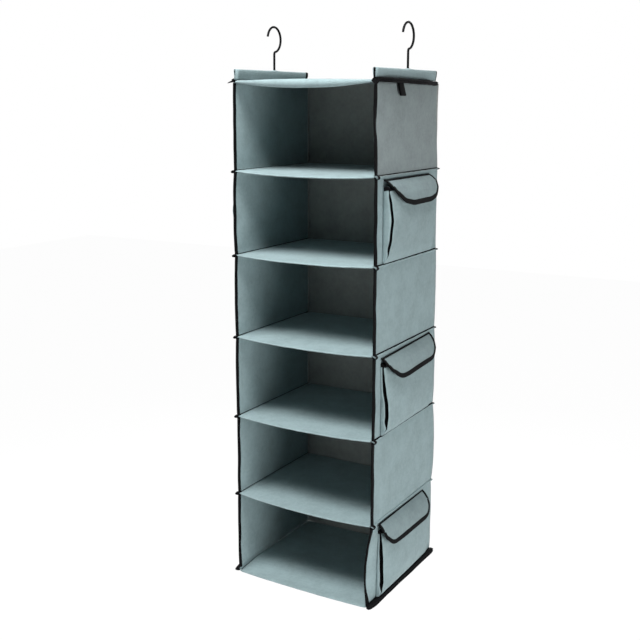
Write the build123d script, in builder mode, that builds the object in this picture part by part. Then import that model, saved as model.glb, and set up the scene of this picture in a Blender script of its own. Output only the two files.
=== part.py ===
from build123d import *
from math import asin, atan2, cos, degrees, radians, sin, sqrt
import os

os.makedirs("parts", exist_ok=True)

# Millimetres. The origin is on the closet rod's axis, midway between the two hooks.
# +X is to the right along the rod, -Y is the open front, +Z is up.

# the cloth body
body_width = 300.0
body_depth = 280.0
top_tier_height = 168.0
tier_height = 162.0
tier_count = 6
cloth = 1.2

# the stiffened shelves, each a board in a cloth sleeve
board_thickness = 3.0
ply = 1.0
board_inset = 2.0
shelf_clearance = 0.3

# the tuck that stands out of each side at a shelf
tuck_reach = 7.0
tuck_thickness = 2.4

# the bias tape over every raw edge
tape = 0.8
tape_width = 8.0
seam_tape_width = 12.0
seam_tape_height = 9.0
seam_tape_below = 3.0
seam_tape_round = 3.0

# the wire hooks
wire_diameter = 4.5
bend_radius = 24.0
kink_radius = 5.0
tip_angle = 168.0
bend_above_top = 83.0
hook_turn_clearance = 0.08
hook_sleeve_clearance = 0.5
stop_radius = 3.4
stop_thickness = 2.0
stop_clearance = 0.05

# the cloth channels on the top edges, each with a batten in it
sleeve_height = 20.0
sleeve_top_width = 14.0
sleeve_seam_width = 6.0
sleeve_overhang = 2.4
bar_width = 8.0
bar_height = 6.0
bar_front_gap = 4.0
bar_back_gap = 22.0
sleeve_back_gap = 16.0

# the hem across the front of the top
hem_thickness = 1.5
hem_rise = 5.0
hem_drop = 13.5

# the side pockets and their flaps
pocket_front_margin = 33.0
pocket_back_margin = 31.0
pocket_mouth_drop = 22.0
pocket_mouth_depth = 14.0
pocket_depth = 26.0
pocket_foot_depth = 8.0
flap_end_gap = 6.0
flap_hinge_drop = 9.0
flap_hinge_reach = 1.6
flap_roof_reach = 18.4
flap_roof_drop = 11.0
flap_front_reach = 7.0
flap_front_drop = 37.0
flap_corner = 34.0

# the ribbon loop on the right side
ribbon = 1.2
ribbon_width = 22.0
ribbon_length = 26.0
ribbon_gap = 1.2
ribbon_reach = 3.0
ribbon_from_front = 83.0

# what follows from them
half_width = body_width / 2
half_depth = body_depth / 2
shelf_thickness = board_thickness + 2 * ply
half_shelf = shelf_thickness / 2
top_z = -bend_above_top
level_z = [top_z - top_tier_height - tier_height * tier for tier in range(tier_count)]
bottom_z = level_z[-1]
wall_top = top_z - half_shelf
wall_bottom = bottom_z + half_shelf + shelf_clearance
wall_front = -half_depth + tape
wall_back = half_depth - cloth
bar_hole_radius = wire_diameter / 2 + hook_turn_clearance
sleeve_hole_radius = wire_diameter / 2 + hook_sleeve_clearance
sleeve_bottom = top_z + half_shelf
sleeve_top = sleeve_bottom + sleeve_height
bar_top = sleeve_top - cloth
bar_bottom = bar_top - bar_height
sleeve_x = half_width - sleeve_top_width / 2 + sleeve_overhang
bottom_width = body_width + 2 * shelf_clearance
bottom_tape_top = bottom_z - half_shelf + seam_tape_height
top_tape_foot = top_z - seam_tape_below
pocket_front = -half_depth + pocket_front_margin
pocket_back = half_depth - pocket_back_margin
flap_front = pocket_front + flap_end_gap
flap_back = pocket_back - flap_end_gap
sides = {"left": -1, "right": 1}
pocket_places = ("upper", "middle", "lower")


def keep(builder, name):
    """Label a finished sub-part and write its STEP file."""
    builder.part.label = name
    export_step(builder.part, f"parts/{name}.step")


def block(x_from, x_to, y_from, y_to, z_from, z_to, mode=Mode.ADD):
    """Add or cut an upright block between two corners."""
    centre = ((x_from + x_to) / 2, (y_from + y_to) / 2, (z_from + z_to) / 2)
    with Locations(centre):
        Box(abs(x_to - x_from), abs(y_to - y_from), abs(z_to - z_from), mode=mode)


def run_along_y(points, y_from, y_to, mode=Mode.ADD):
    """Extrude a closed outline of (x, z) points from one depth to another."""
    with BuildSketch(Plane.XZ.offset(-y_to)) as outline:
        with BuildLine():
            Polyline(*points, close=True)
        make_face()
    extrude(outline.sketch, amount=y_to - y_from, mode=mode)


def offset_path(points, distance):
    """Shift a bent (x, z) line sideways by one distance, mitred at its bend."""
    (ax, az), (bx, bz), (cx, cz) = points
    first = atan2(bz - az, bx - ax)
    second = atan2(cz - bz, cx - bx)
    middle = (first + second) / 2
    mitre = distance / cos((second - first) / 2)
    return [
        (ax - distance * sin(first), az + distance * cos(first)),
        (bx - mitre * sin(middle), bz + mitre * cos(middle)),
        (cx - distance * sin(second), cz + distance * cos(second)),
    ]


# side and back walls
for side_name, side in sides.items():
    with BuildPart() as side_panel:
        inner = side * (half_width - cloth)
        outer = side * half_width
        block(inner, outer, wall_front, wall_back, wall_bottom, wall_top)
        for z in level_z[:-1]:
            tuck = (z - tuck_thickness / 2, z + tuck_thickness / 2)
            block(outer, side * (half_width + tuck_reach), wall_front + tape_width, wall_back, *tuck)
    keep(side_panel, f"{side_name}_side_panel")

with BuildPart() as back_panel:
    block(-half_width, half_width, wall_back, half_depth, wall_bottom, wall_top)
keep(back_panel, "back_panel")


def stiffened_panel(name, width, y_from, y_to, z):
    """Make one cloth sleeve, open at the back, and the board that fills it."""
    x = width / 2
    board_x = x - board_inset
    board_y = (y_from + board_inset, y_to - board_inset)
    board_z = (z - board_thickness / 2, z + board_thickness / 2)
    with BuildPart() as panel:
        block(-x, x, y_from, y_to, z - half_shelf, z + half_shelf)
        block(-board_x, board_x, board_y[0], y_to, *board_z, mode=Mode.SUBTRACT)
    keep(panel, name)
    with BuildPart() as board:
        block(-board_x, board_x, *board_y, *board_z)
    keep(board, f"{name}_board")


# top, shelves and bottom
stiffened_panel("top_panel", body_width, -half_depth + hem_thickness, half_depth, top_z)
shelf_width = body_width - 2 * (cloth + tape + shelf_clearance)
for number, z in enumerate(level_z[:-1], start=1):
    stiffened_panel(f"shelf_{number}", shelf_width, -half_depth, wall_back - shelf_clearance, z)
stiffened_panel("bottom_panel", bottom_width, -half_depth, half_depth, bottom_z)

# the hem that sags between the top's front corners
with BuildPart() as top_front_hem:
    with BuildSketch(Plane.XZ.offset(half_depth - hem_thickness)):
        with BuildLine():
            upper = ThreePointArc((-half_width, top_z), (0, top_z + hem_rise), (half_width, top_z))
            ThreePointArc(upper @ 1, (0, top_z - hem_drop), upper @ 0)
        make_face()
    extrude(amount=hem_thickness)
keep(top_front_hem, "top_front_hem")

# bias tape on the front edges and along the top and bottom seams
for side_name, side in sides.items():
    with BuildPart() as front_binding:
        tape_x = (side * (half_width - cloth - tape), side * (half_width + tape))
        tape_z = (bottom_tape_top + shelf_clearance, top_tape_foot)
        block(*tape_x, -half_depth, -half_depth + tape_width, *tape_z)
        slot_x = (side * (half_width - cloth), side * half_width)
        block(*slot_x, wall_front, half_depth, *tape_z, mode=Mode.SUBTRACT)
    keep(front_binding, f"{side_name}_front_binding")

    seams = {
        "top": (half_width, top_tape_foot),
        "bottom": (bottom_width / 2, bottom_z - half_shelf),
    }
    for place, (seam_x, foot_z) in seams.items():
        with BuildPart() as seam_binding:
            seam_x = (side * seam_x, side * (half_width + seam_tape_width))
            block(*seam_x, -half_depth, half_depth, foot_z, foot_z + seam_tape_height)
            outer_edges = seam_binding.edges().filter_by(Axis.Y).group_by(Axis.X)
            fillet(outer_edges[-1 if side > 0 else 0], seam_tape_round)
        keep(seam_binding, f"{side_name}_{place}_binding")

# hanger sleeves, battens and hooks
kink_span = bend_radius + kink_radius
kink_z = -sqrt(kink_span ** 2 - kink_radius ** 2)
kink_direction = atan2(kink_z, kink_radius)
meet = (bend_radius * cos(kink_direction), bend_radius * sin(kink_direction))
kink_turn = atan2(meet[1] - kink_z, meet[0] - kink_radius)
kink_middle = (radians(180) + kink_turn) / 2
kink_through = (
    kink_radius + kink_radius * cos(kink_middle),
    kink_z + kink_radius * sin(kink_middle),
)
stem_foot = bar_bottom - stop_clearance
sleeve_back = half_depth - sleeve_back_gap

for side_name, side in sides.items():
    hook_x = side * sleeve_x
    half_top = sleeve_top_width / 2
    half_seam = sleeve_seam_width / 2
    lean = atan2(half_top - half_seam, sleeve_height)
    inset = cloth / cos(lean)

    def half_at(z):
        share = (z - sleeve_bottom) / sleeve_height
        return half_seam + (half_top - half_seam) * share

    with BuildPart() as hanger_sleeve:
        outline = [
            (hook_x - half_seam, sleeve_bottom),
            (hook_x + half_seam, sleeve_bottom),
            (hook_x + half_top, sleeve_top),
            (hook_x - half_top, sleeve_top),
        ]
        run_along_y(outline, -half_depth, sleeve_back)
        floor_z = sleeve_bottom + cloth
        hollow = [
            (hook_x - half_at(floor_z) + inset, floor_z),
            (hook_x + half_at(floor_z) - inset, floor_z),
            (hook_x + half_at(bar_top) - inset, bar_top),
            (hook_x - half_at(bar_top) + inset, bar_top),
        ]
        run_along_y(hollow, -half_depth, sleeve_back, mode=Mode.SUBTRACT)
        with Locations((hook_x, 0, sleeve_top)):
            Cylinder(sleeve_hole_radius, 4 * cloth, mode=Mode.SUBTRACT)
    keep(hanger_sleeve, f"{side_name}_hanger_sleeve")

    with BuildPart() as hanger_bar:
        bar_x = (hook_x - bar_width / 2, hook_x + bar_width / 2)
        block(*bar_x, -half_depth + bar_front_gap, half_depth - bar_back_gap, bar_bottom, bar_top)
        with Locations((hook_x, 0, (bar_bottom + bar_top) / 2)):
            Cylinder(bar_hole_radius, 2 * bar_height, mode=Mode.SUBTRACT)
    keep(hanger_bar, f"{side_name}_hanger_bar")

    with BuildPart() as hook:
        with BuildLine(Plane.YZ.offset(hook_x)):
            stem = Line((0, stem_foot), (0, kink_z))
            kink = ThreePointArc(stem @ 1, kink_through, meet)
            bend_start = degrees(kink_direction)
            CenterArc((0, 0), bend_radius, bend_start, tip_angle - bend_start)
        with BuildSketch(Plane.XY.offset(stem_foot)):
            with Locations((hook_x, 0)):
                Circle(wire_diameter / 2)
        sweep()
    keep(hook, f"{side_name}_hook")

    with BuildPart() as hook_stop:
        with Locations((hook_x, 0, stem_foot - stop_thickness / 2)):
            Cylinder(stop_radius, stop_thickness)
    keep(hook_stop, f"{side_name}_hook_stop")

# side pockets with bound mouths, and the flaps that hang over them
for side_name, side in sides.items():
    for number, place in enumerate(pocket_places):
        above = level_z[2 * number]
        below = level_z[2 * number + 1]
        mouth_z = above - pocket_mouth_drop
        straight_z = mouth_z - tape_width - tape
        tuck_top = below + tuck_thickness / 2
        foot_z = bottom_tape_top + shelf_clearance if below == bottom_z else tuck_top
        belly_z = (straight_z + foot_z) / 2
        pocket_name = f"{side_name}_{place}_pocket"
        flap_name = f"{side_name}_{place}_flap"

        def outward(reach):
            return side * (half_width + reach)

        face = [
            (outward(pocket_mouth_depth), straight_z),
            (outward(pocket_depth - 2 * ply), belly_z + tier_height / 8),
            (outward(pocket_depth), belly_z),
            (outward(pocket_depth - 4 * ply), belly_z - tier_height / 5),
            (outward(pocket_foot_depth), foot_z),
        ]
        lining = [
            (outward(pocket_mouth_depth - cloth), straight_z),
            (outward(pocket_depth - 2 * ply - cloth), belly_z + tier_height / 8),
            (outward(pocket_depth - cloth), belly_z),
            (outward(pocket_depth - 4 * ply - cloth), belly_z - tier_height / 5),
            (outward(pocket_foot_depth - cloth), foot_z + cloth),
        ]
        with BuildPart() as pocket:
            pouch = [(outward(0), mouth_z), (outward(pocket_mouth_depth), mouth_z)]
            run_along_y(pouch + face + [(outward(0), foot_z)], pocket_front, pocket_back)
            hollow = [(outward(0), mouth_z), (outward(pocket_mouth_depth - cloth), mouth_z)]
            hollow = hollow + lining + [(outward(0), foot_z + cloth)]
            ends = (pocket_front + cloth, pocket_back - cloth)
            run_along_y(hollow, *ends, mode=Mode.SUBTRACT)
        keep(pocket, pocket_name)

        with BuildPart() as mouth_binding:
            tape_z = (mouth_z - tape_width, mouth_z + tape)
            rim_y = (pocket_front - tape, pocket_back + tape)
            block(outward(0), outward(pocket_mouth_depth + tape), *rim_y, *tape_z)
            inside_x = outward(pocket_mouth_depth - cloth - tape)
            inside_y = (pocket_front + cloth + tape, pocket_back - cloth - tape)
            block(outward(0), inside_x, *inside_y, *tape_z, mode=Mode.SUBTRACT)
            add(pocket.part, mode=Mode.SUBTRACT)
        keep(mouth_binding, f"{pocket_name}_binding")

        hinge = (flap_hinge_reach, above - flap_hinge_drop)
        bend = (hinge[0] + flap_roof_reach, hinge[1] - flap_roof_drop)
        lip = (bend[0] + flap_front_reach, bend[1] - flap_front_drop)
        half_cloth = cloth / 2
        half_bound = half_cloth + tape

        def flap_slab(half_thickness):
            upper = offset_path([hinge, bend, lip], half_thickness)
            lower = offset_path([hinge, bend, lip], -half_thickness)
            return [(outward(x), z) for x, z in upper + lower[::-1]]

        def flap_outline(margin, mode):
            low = lip[1] - 2 * half_bound if margin == 0 else lip[1] + margin
            high = hinge[1] + flap_roof_reach if margin == 0 else hinge[1] - margin / 2
            centre = ((flap_front + flap_back) / 2, (low + high) / 2)
            with BuildSketch(Plane.YZ.offset(side * half_width - flap_length)) as outline:
                with Locations(centre):
                    Rectangle(flap_back - flap_front - 2 * margin, high - low)
                corners = outline.vertices().sort_by(Axis.Y)[:2]
                fillet(corners, flap_corner - margin)
            extrude(outline.sketch, amount=2 * flap_length, mode=mode)

        flap_length = flap_roof_reach + flap_roof_drop + flap_front_reach + flap_front_drop
        with BuildPart() as flap:
            run_along_y(flap_slab(half_cloth), flap_front + tape, flap_back - tape)
            flap_outline(0, Mode.INTERSECT)
        keep(flap, flap_name)

        with BuildPart() as flap_binding:
            run_along_y(flap_slab(half_bound), flap_front, flap_back)
            flap_outline(0, Mode.INTERSECT)
            flap_outline(tape_width, Mode.SUBTRACT)
            add(flap.part, mode=Mode.SUBTRACT)
        keep(flap_binding, f"{flap_name}_binding")

# the blank ribbon loop sewn into the right top seam
with BuildPart() as ribbon_loop:
    loop_front = -half_depth + ribbon_from_front
    loop_back = loop_front + ribbon_width
    loop_inner = half_width + ribbon_reach
    loop_outer = loop_inner + 2 * ribbon + ribbon_gap
    loop_top = top_tape_foot
    block(loop_inner, loop_outer, loop_front, loop_back, loop_top - ribbon_length, loop_top)
    foot_edges = ribbon_loop.edges().filter_by(Axis.Y).group_by(Axis.Z)[0]
    fillet(foot_edges, ribbon)
    slit_x = (loop_inner + ribbon, loop_outer - ribbon)
    slit_z = (loop_top - ribbon_length + ribbon, loop_top)
    block(*slit_x, loop_front, loop_back, *slit_z, mode=Mode.SUBTRACT)
keep(ribbon_loop, "ribbon_loop")
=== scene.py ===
import math

import bmesh
import bpy
from mathutils import Matrix, Vector, noise
from mathutils.bvhtree import BVHTree
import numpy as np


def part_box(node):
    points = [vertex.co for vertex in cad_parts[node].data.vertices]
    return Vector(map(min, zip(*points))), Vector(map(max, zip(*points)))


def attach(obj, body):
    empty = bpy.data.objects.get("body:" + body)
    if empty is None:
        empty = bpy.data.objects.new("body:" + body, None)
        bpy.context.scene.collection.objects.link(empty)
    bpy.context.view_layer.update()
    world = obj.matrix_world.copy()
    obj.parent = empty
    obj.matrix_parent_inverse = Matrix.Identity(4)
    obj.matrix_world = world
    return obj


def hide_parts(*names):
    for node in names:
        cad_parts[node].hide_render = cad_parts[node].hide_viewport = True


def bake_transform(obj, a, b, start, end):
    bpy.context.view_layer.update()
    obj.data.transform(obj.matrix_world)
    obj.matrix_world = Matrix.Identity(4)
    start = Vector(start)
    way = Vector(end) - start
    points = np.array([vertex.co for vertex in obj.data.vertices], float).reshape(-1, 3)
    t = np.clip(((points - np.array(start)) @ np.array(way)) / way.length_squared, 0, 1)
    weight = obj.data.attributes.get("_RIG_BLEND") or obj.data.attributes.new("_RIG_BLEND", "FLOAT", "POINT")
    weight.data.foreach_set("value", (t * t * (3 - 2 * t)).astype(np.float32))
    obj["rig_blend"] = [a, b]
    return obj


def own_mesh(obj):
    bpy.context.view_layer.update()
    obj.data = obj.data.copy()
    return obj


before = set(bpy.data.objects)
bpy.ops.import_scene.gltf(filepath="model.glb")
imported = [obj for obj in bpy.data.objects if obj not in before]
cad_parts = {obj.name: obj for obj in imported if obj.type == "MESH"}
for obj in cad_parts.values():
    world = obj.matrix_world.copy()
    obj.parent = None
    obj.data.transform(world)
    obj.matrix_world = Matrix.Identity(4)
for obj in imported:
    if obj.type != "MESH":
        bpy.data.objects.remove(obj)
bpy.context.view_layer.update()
print("frame loaded")

mm = 0.001
sides = {"left": -1, "right": 1}
places = ("upper", "middle", "lower")


# where the frame has its parts, in millimetres
def lowest(node, axis):
    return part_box(node)[0][axis] / mm


def highest(node, axis):
    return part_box(node)[1][axis] / mm


def middleOf(node, axis):
    return (lowest(node, axis) + highest(node, axis)) / 2


body = {
    "half": highest("back_panel", 0),
    "front": lowest("top_panel", 1),
    "back": highest("back_panel", 1),
    "seam": middleOf("top_panel", 2),
    "floor": middleOf("bottom_panel", 2),
    "shelves": [middleOf(f"shelf_{number}", 2) for number in range(1, 6)],
    "cloth": 0.9,
}
levels = [body["seam"], *body["shelves"], body["floor"]]
lastTier = len(body["shelves"])
fold = {
    "joint": "collapse",
    "axis": (0, 0, 1),
    "anchor": (0, 0, body["seam"] * mm),
    "keep": 0.16,
}


# small sums
def between(start, end, share):
    return start + (end - start) * share


def ease(share):
    share = min(max(share, 0.0), 1.0)
    return share * share * (3 - 2 * share)


def ramp(value, start, end):
    return ease((value - start) / (end - start))


def fade(value, start, end):
    return 1 - ramp(value, start, end)


def hump(share):
    return math.sin(math.pi * min(max(share, 0.0), 1.0))


def spread(start, end, count):
    return [between(start, end, step / (count - 1)) for step in range(count)]


def uneven(across, down, seed=0.0):
    return noise.noise(Vector((across, down, seed)))


def follow(points, value):
    # a smooth value read from a short list of (where, how much)
    if value <= points[0][0]:
        return points[0][1]
    for (start, low), (end, high) in zip(points, points[1:]):
        if value <= end:
            share = (value - start) / (end - start)
            return between(low, high, 0.5 * share + 0.5 * ease(share))
    return points[-1][1]


# material nodes, written as sums
class Wire:
    def __init__(self, tree, socket=None):
        self.tree = tree
        self.socket = socket

    def node(self, kind, settings=None, inputs=None, output=0):
        made = self.tree.nodes.new(kind)
        for name, setting in (settings or {}).items():
            setattr(made, name, setting)
        for name, value in (inputs or {}).items():
            port = made.inputs[name]
            if isinstance(value, Wire):
                self.tree.links.new(value.socket, port)
            else:
                port.default_value = value
        return Wire(self.tree, made.outputs[output])

    def sum(self, operation, first, second):
        return self.node("ShaderNodeMath", {"operation": operation}, {0: first, 1: second})

    def __add__(self, other):
        return self.sum("ADD", self, other)

    def __radd__(self, other):
        return self.sum("ADD", other, self)

    def __sub__(self, other):
        return self.sum("SUBTRACT", self, other)

    def __rsub__(self, other):
        return self.sum("SUBTRACT", other, self)

    def __mul__(self, other):
        return self.sum("MULTIPLY", self, other)

    def __rmul__(self, other):
        return self.sum("MULTIPLY", other, self)

    def waves(self, length):
        return self.node("ShaderNodeMath", {"operation": "SINE"}, {0: self * (2 * math.pi / length)})

    def size(self):
        return self.node("ShaderNodeMath", {"operation": "ABSOLUTE"}, {0: self})

    def step(self, start, end):
        settings = {"interpolation_type": "SMOOTHSTEP"}
        return self.node("ShaderNodeMapRange", settings, {0: self, 1: start, 2: end})

    def axis(self, name):
        return self.node("ShaderNodeSeparateXYZ", None, {0: self}, "XYZ".index(name))

    def speckle(self, scale, detail=2.0, rough=0.5, stretch=(1, 1, 1)):
        where = self.node("ShaderNodeMapping", None, {"Vector": self, "Scale": stretch})
        inputs = {"Vector": where, "Scale": scale, "Detail": detail, "Roughness": rough}
        return self.node("ShaderNodeTexNoise", None, inputs)

    def cells(self, scale, loose):
        inputs = {"Vector": self, "Scale": scale, "Randomness": loose}
        return self.node("ShaderNodeTexVoronoi", None, inputs)

    def mixed(self, first, second):
        # sockets 6 and 7 take the two colours, and output 2 gives them mixed
        return self.node("ShaderNodeMix", {"data_type": "RGBA"}, {0: self, 6: first, 7: second}, 2)

    def bumped(self, strength, depth, under=None):
        inputs = {"Height": self, "Strength": strength, "Distance": depth}
        if under:
            inputs["Normal"] = under
        return self.node("ShaderNodeBump", None, inputs)


def colour(red, green, blue):
    return (red, green, blue, 1.0)


def shaded(value, factor):
    return colour(*(channel * factor for channel in value))


def newFinish(name, constants):
    material = bpy.data.materials.new(name)
    material.use_nodes = True
    shader = material.node_tree.nodes["Principled BSDF"]
    for socket, value in constants.items():
        shader.inputs[socket].default_value = value
    return material, shader, Wire(material.node_tree)


def plug(wire, shader, socket):
    wire.tree.links.new(wire.socket, shader.inputs[socket])


def objectPlace(start):
    return start.node("ShaderNodeTexCoord", output="Object")


def clothPlace(start):
    return start.node("ShaderNodeUVMap", {"uv_map": "flat"})


# pressed felt-like cloth: fibres, small bonding points, soft cloudy patches; how fine each is
felt = {"clouds": 26.0, "blotches": 150.0, "fibres": 1500.0, "crossFibres": 1300.0, "points": 820.0}


def clothFinish(name, base, shade=0.80, light=1.14):
    material, shader, start = newFinish(
        name, {"Sheen Weight": 0.15, "Sheen Roughness": 0.5, "Specular IOR Level": 0.25}
    )
    where = objectPlace(start)
    clouds = where.speckle(felt["clouds"], 5.0, 0.6)
    blotches = where.speckle(felt["blotches"], 3.0, 0.65)
    fibres = where.speckle(felt["fibres"], 3.0, 0.7, (1.0, 0.55, 0.3))
    crossFibres = where.speckle(felt["crossFibres"], 3.0, 0.7, (0.3, 0.5, 1.0))
    dents = where.cells(felt["points"], 0.22).step(0.05, 0.5)
    tone = 0.45 * clouds + 0.30 * blotches + 0.15 * fibres + 0.10 * crossFibres
    tone = tone * 0.92 + dents * 0.08
    tint = tone.step(0.30, 0.68).mixed(shaded(base, shade), shaded(base, light))
    plug(tint, shader, "Base Color")
    plug(0.78 + 0.16 * fibres, shader, "Roughness")
    fibrous = (0.55 * fibres + 0.45 * crossFibres).bumped(0.35, 0.00025)
    pressed = dents.bumped(0.3, 0.00018, fibrous)
    plug(blotches.bumped(0.25, 0.0006, pressed), shader, "Normal")
    return material


# woven edging tape: ribs across it, a row of stitches near each edge; sizes in metres
weave = {
    "rib": 0.0011,
    "weft": 0.0008,
    "stitch": 0.0036,
    "rows": (0.0018, 0.0062),
    "thread": (0.0002, 0.0005),
}


def tapeFinish(name, base):
    material, shader, start = newFinish(
        name, {"Sheen Weight": 0.0, "Sheen Roughness": 0.35, "Specular IOR Level": 0.03}
    )
    flat = clothPlace(start)
    where = objectPlace(start)
    along = flat.axis("Y")
    around = flat.axis("X")
    ribs = along.waves(weave["rib"]) * 0.5 + 0.5
    weft = around.waves(weave["weft"]) * 0.5 + 0.5
    wear = where.speckle(90.0, 4.0, 0.6)
    fuzz = where.speckle(1800.0, 2.0, 0.6)
    dash = along.waves(weave["stitch"]).step(-0.35, -0.1)
    row, otherRow = (1 - (around - at).size().step(*weave["thread"]) for at in weave["rows"])
    thread = dash * (row + otherRow)
    tone = 0.5 * wear + 0.25 * ribs + 0.25 * fuzz
    cloth = tone.step(0.25, 0.8).mixed(shaded(base, 0.65), shaded(base, 1.9))
    plug(thread.mixed(cloth, shaded(base, 2.4)), shader, "Base Color")
    plug(0.42 + 0.3 * wear + 0.12 * ribs, shader, "Roughness")
    ribbed = (ribs * 0.8 + weft * 0.2).bumped(0.5, 0.0002)
    plug(thread.bumped(0.8, 0.0003, ribbed), shader, "Normal")
    return material


# enamelled wire: smooth and dark, with a little orange peel
def wireFinish(name):
    material, shader, start = newFinish(
        name, {"Coat Roughness": 0.12, "Specular IOR Level": 0.03, "Metallic": 0.0}
    )
    where = objectPlace(start)
    rub = where.speckle(60.0, 4.0, 0.6)
    peel = where.speckle(900.0, 2.0, 0.5)
    tint = rub.step(0.35, 0.75).mixed(colour(0.003, 0.003, 0.0035), colour(0.008, 0.008, 0.009))
    plug(tint, shader, "Base Color")
    plug(0.24 + 0.16 * rub, shader, "Roughness")
    plug(0.01 + 0.04 * rub, shader, "Coat Weight")
    plug(peel.bumped(0.12, 0.0001), shader, "Normal")
    return material


# grey board with flecks of pulp, and a dark plastic for the battens
def boardFinish(name, base, grain, rough):
    material, shader, start = newFinish(name, {"Specular IOR Level": 0.3})
    where = objectPlace(start)
    pulp = where.speckle(420.0, 4.0, 0.7, grain)
    flecks = where.cells(600.0, 1.0).step(0.05, 0.35)
    clouds = where.speckle(22.0, 3.0, 0.5)
    tone = 0.45 * pulp + 0.35 * clouds + 0.2 * flecks
    plug(tone.step(0.2, 0.8).mixed(shaded(base, 0.7), shaded(base, 1.25)), shader, "Base Color")
    plug(rough + 0.15 * pulp, shader, "Roughness")
    plug((pulp * 0.7 + flecks * 0.3).bumped(0.35, 0.0003), shader, "Normal")
    return material


finishes = {
    "cloth": clothFinish("grey cloth", (0.288, 0.385, 0.400)),
    # a warmer, greyer copy of the cloth for the back: the tint of the shaded inside, painted on
    "back": clothFinish("grey cloth, painted shade tint, back", (0.318, 0.333, 0.322)),
    # a darker copy of the cloth: painted shade for the right side's top tier and the top cover
    "upper": clothFinish("grey cloth, painted shade, top", (0.246, 0.294, 0.299)),
    # a darker copy of the walls' cloth for the flaps: painted shade
    "flap": clothFinish("grey cloth, painted shade, flaps", (0.232, 0.307, 0.319)),
    "tape": tapeFinish("black edging tape", (0.0046, 0.0046, 0.0051)),
    "wire": wireFinish("black enamelled wire"),
    "board": boardFinish("grey board", (0.42, 0.40, 0.36), (1, 1, 1), 0.75),
    "batten": boardFinish("dark batten", (0.030, 0.031, 0.033), (1, 0.08, 1), 0.45),
    "stop": boardFinish("dark stop", (0.05, 0.05, 0.055), (1, 1, 1), 0.3),
}
print("materials made")


# shapes
def drawn(outline, stations, closed=False, capped=False):
    # an outline, drawn out straight through its stations
    shape = bmesh.new()
    around = shape.verts.layers.float.new("around")
    along = shape.verts.layers.float.new("along")
    row = [shape.verts.new((across, up, stations[0])) for across, up in outline]
    travelled = 0.0
    for before, corner in zip([row[0], *row], row):
        travelled += (corner.co - before.co).length
        corner[around] = travelled
        corner[along] = stations[0]
    edges = [shape.edges.new(pair) for pair in zip(row, row[1:])]
    if closed:
        edges.append(shape.edges.new((row[-1], row[0])))
    rings = [edges]
    for start, end in zip(stations, stations[1:]):
        made = bmesh.ops.extrude_edge_only(shape, edges=edges)["geom"]
        row = [part for part in made if isinstance(part, bmesh.types.BMVert)]
        fresh = set(row)
        edges = [
            part
            for part in made
            if isinstance(part, bmesh.types.BMEdge) and fresh.issuperset(part.verts)
        ]
        bmesh.ops.translate(shape, verts=row, vec=(0, 0, end - start))
        for corner in row:
            corner[along] = end
    rings.append(edges)
    if capped:
        for ring in rings:
            bmesh.ops.edgenet_fill(shape, edges=ring)
    return shape


def laidFlat(shape, lengths=None):
    # the cloth's own flat coordinates, in metres, kept before it is bent
    around = shape.verts.layers.float["around"]
    along = shape.verts.layers.float["along"]
    flat = shape.loops.layers.uv.new("flat")
    total = max(corner[around] for corner in shape.verts)
    for face in shape.faces:
        reaches = [corner.vert[around] for corner in face.loops]
        wraps = max(reaches) - min(reaches) > 0.6 * total
        for corner, reach in zip(face.loops, reaches):
            if wraps and reach < 0.4 * total:
                reach += total
            station = corner.vert[along]
            if lengths:
                station = lengths[round(station)]
            corner[flat].uv = (reach * mm, station * mm)


def bent(shape, place):
    for corner in shape.verts:
        corner.co = place(*corner.co)


def finished(name, shape, skins, thick=0.0, sharp=60, rounded=0.0):
    if rounded:
        bmesh.ops.bevel(
            shape,
            geom=[edge for edge in shape.edges if edge.calc_face_angle(0.0) > 1.0],
            offset=rounded,
            affect="EDGES",
            segments=2,
            profile=0.5,
            material=-1,
        )
    bmesh.ops.scale(shape, verts=shape.verts, vec=(mm, mm, mm))
    bmesh.ops.recalc_face_normals(shape, faces=shape.faces)
    mesh = bpy.data.meshes.new(name)
    shape.to_mesh(mesh)
    shape.free()
    for skin in skins:
        mesh.materials.append(finishes[skin])
    mesh.polygons.foreach_set("use_smooth", [True] * len(mesh.polygons))
    mesh.set_sharp_from_angle(angle=math.radians(sharp))
    piece = bpy.data.objects.new(name, mesh)
    bpy.context.scene.collection.objects.link(piece)
    if thick:
        wall = piece.modifiers.new("cloth thickness", "SOLIDIFY")
        wall.thickness = thick * mm
        wall.offset = 0
    return piece


def tapeSection(width, thick, proud):
    # a tape folded over an edge, seen end on: across the cloth, through it
    half = thick / 2
    return [
        (width, -half * 0.72),
        (width * 0.62, -half),
        (width * 0.25, -half),
        (-proud * 0.3, -half * 0.95),
        (-proud * 0.8, -half * 0.6),
        (-proud, 0.0),
        (-proud * 0.8, half * 0.6),
        (-proud * 0.3, half * 0.95),
        (width * 0.25, half),
        (width * 0.62, half),
        (width, half * 0.72),
        (width + 0.25, 0.0),
    ]


def boundEdge(name, steps, size, loop=False, cloth=None):
    # edging tape along a line of (point, direction into the cloth, direction off the cloth);
    # with a cloth to lie on, it follows that cloth's curve
    lengths = [0.0]
    for (before, *_), (after, *_) in zip(steps, steps[1:]):
        lengths.append(lengths[-1] + (after - before).length)
    section = tapeSection(size["width"], size["thick"], size["proud"])
    shape = drawn(section, list(range(len(steps))), closed=True, capped=not loop)
    laidFlat(shape, lengths)

    def place(across, through, station):
        point, inward, off = steps[round(station)]
        base = point + inward * across
        if cloth and across > 0:
            base += off * (cloth.find_nearest(base)[0] - base).dot(off)
        return base + off * through

    bent(shape, place)
    if loop:
        bmesh.ops.remove_doubles(shape, verts=shape.verts, dist=0.01)
    return finished(name, shape, ["tape"])


def withBody(piece, where, slot, *nodes):
    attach(piece, where)
    if nodes:
        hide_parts(*nodes)
    return piece


def foldsUp(piece):
    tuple(fold["axis"])
    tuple(fold["anchor"])
    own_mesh(piece)
    return piece


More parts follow.
